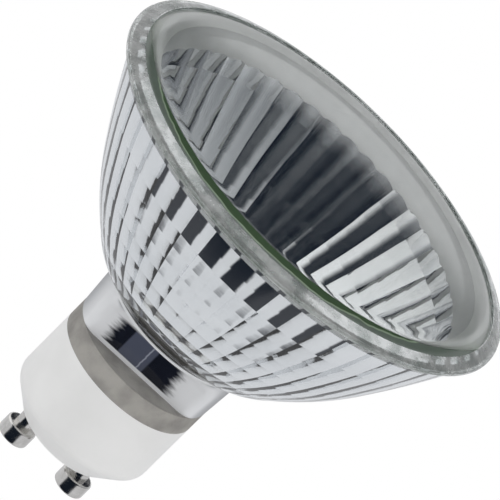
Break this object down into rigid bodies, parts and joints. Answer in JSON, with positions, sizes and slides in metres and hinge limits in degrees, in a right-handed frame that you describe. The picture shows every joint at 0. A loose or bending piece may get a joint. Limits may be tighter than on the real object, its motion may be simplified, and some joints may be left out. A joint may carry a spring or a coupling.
{
  "type": "halogen reflector lamp",
  "caption": "Reflector lamp with a fluted mirrored glass bowl, clear front lens, sealed halogen capsule, ceramic base and mushroom-headed locking contact pins.",
  "frame": {"origin": "middle of the underside of the ceramic base, between the pins", "axes": "+Z along the lamp's axis towards the front lens, X through both pins, flats of the neck facing +Y and -Y"},
  "size_m": [0.0636, 0.0636, 0.0583],
  "materials": {
    "reflector_glass": "pressed glass, smooth outside, aluminised inside",
    "lens_glass": "clear pressed glass, faintly green at its edge",
    "sealant": "translucent sealant",
    "grey_cement": "matt cast cement",
    "ceramic": "satin white ceramic",
    "pin_plating": "polished nickel plating",
    "white_cement": "matt cast cement",
    "quartz": "clear quartz",
    "foil_metal": "thin bright foil",
    "lead_metal": "drawn wire",
    "filament_metal": "dark drawn wire",
    "wire_metal": "drawn wire"
  },
  "bodies": {
    "root": {"reflector": "reflector_glass", "front_lens": "lens_glass", "lens_seal": "sealant", "base_cement": "grey_cement", "ceramic_base": "ceramic", "contact_pin_left": "pin_plating", "contact_pin_right": "pin_plating", "capsule_cement": "white_cement", "capsule_envelope": "quartz", "foil_left": "foil_metal", "foil_right": "foil_metal", "inner_lead_short": "lead_metal", "inner_lead_long": "lead_metal", "outer_lead_left": "lead_metal", "outer_lead_right": "lead_metal", "filament": "filament_metal", "lead_wire": "wire_metal", "fuse_wire": "wire_metal"}
  },
  "joints": []
}
